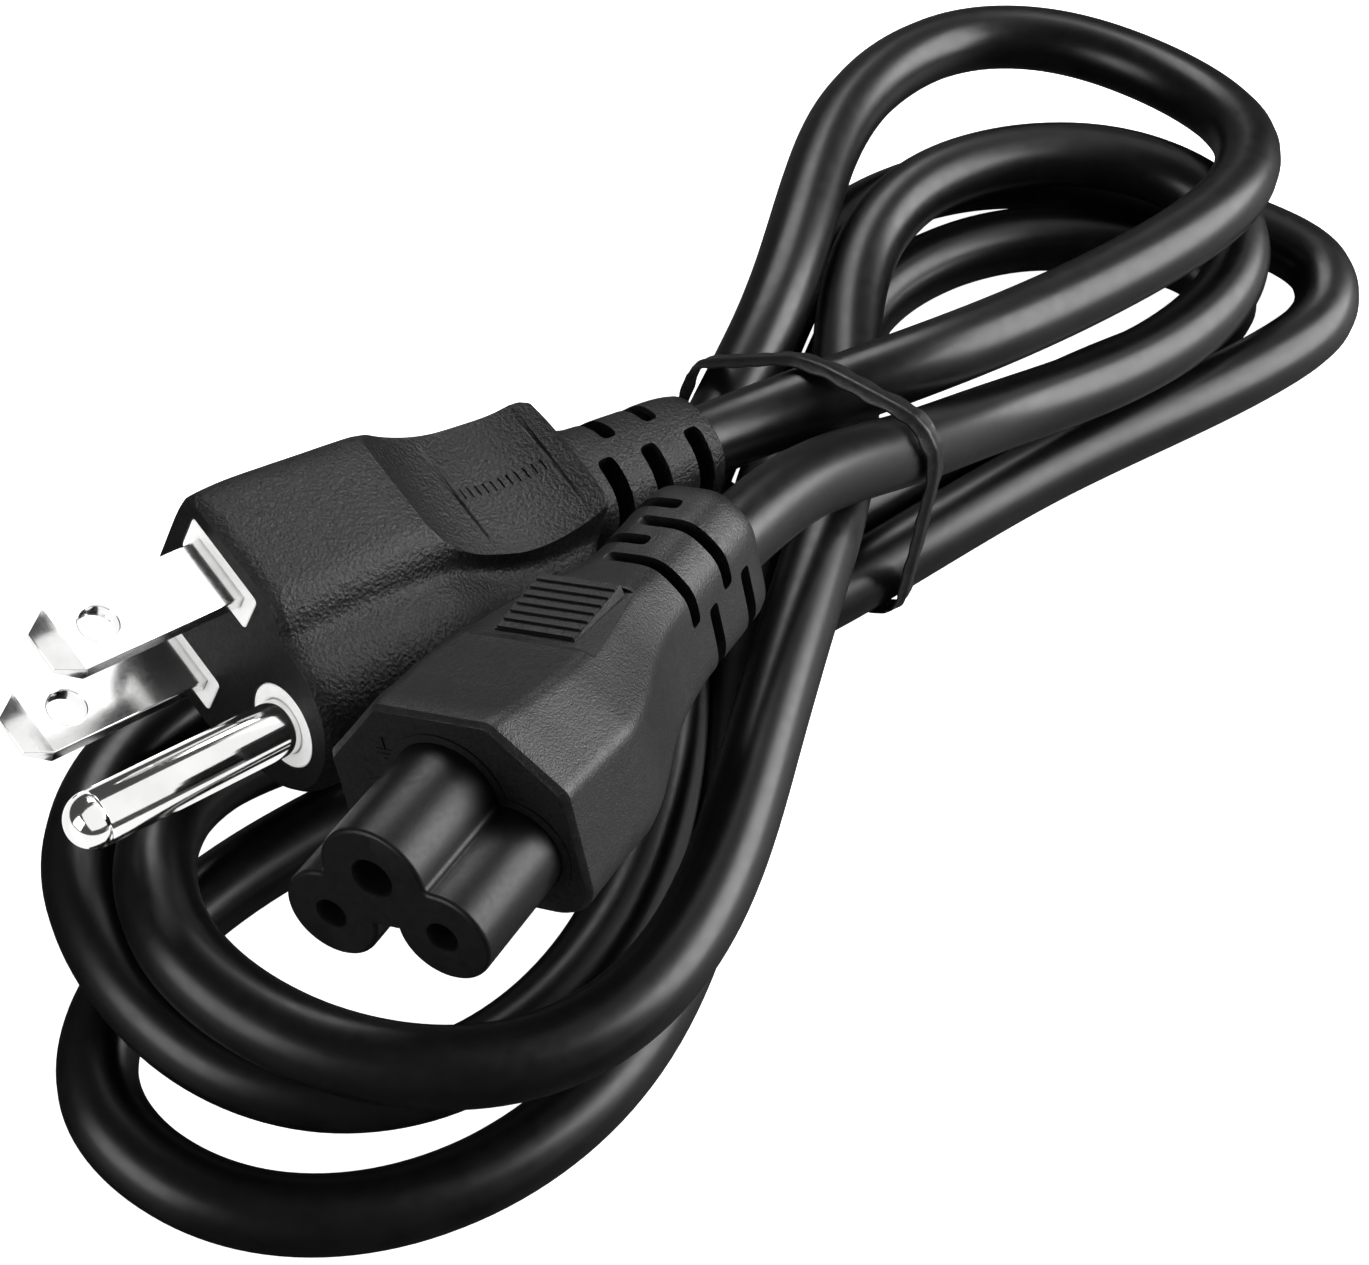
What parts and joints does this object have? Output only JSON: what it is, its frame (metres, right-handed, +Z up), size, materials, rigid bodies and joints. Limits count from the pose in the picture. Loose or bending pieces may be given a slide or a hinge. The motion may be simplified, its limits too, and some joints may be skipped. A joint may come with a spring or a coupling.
{
  "type": "power cord",
  "caption": "Black mains power cord folded into a tied hank: plug with flat blades and a round earth pin, and a three-lobed appliance connector",
  "frame": {"origin": "middle of the bottom of the whole folded cord, on the floor it lies on", "axes": "+Z up; the hank lies level on the floor with both ends toward -X -Y and the folded bends toward +X +Y"},
  "size_m": [0.114, 0.1601, 0.0515],
  "materials": {
    "plug_body": "leather-grained black",
    "plug_insert": "white",
    "nickel": "bright nickel",
    "connector_body": "fine matt black",
    "connector_nose": "satin black",
    "contact": "plated",
    "cord": "semi-gloss black jacket",
    "tie": "black ribbon"
  },
  "bodies": {
    "root": {"plug_body": "plug_body", "plug_insert": "plug_insert", "blade_upper": "nickel", "blade_lower": "nickel", "ground_pin": "nickel", "connector_body": "connector_body", "connector_nose": "connector_nose", "contact_left": "contact", "contact_right": "contact", "contact_earth": "contact", "cord": "cord", "tie": "tie"}
  },
  "joints": []
}
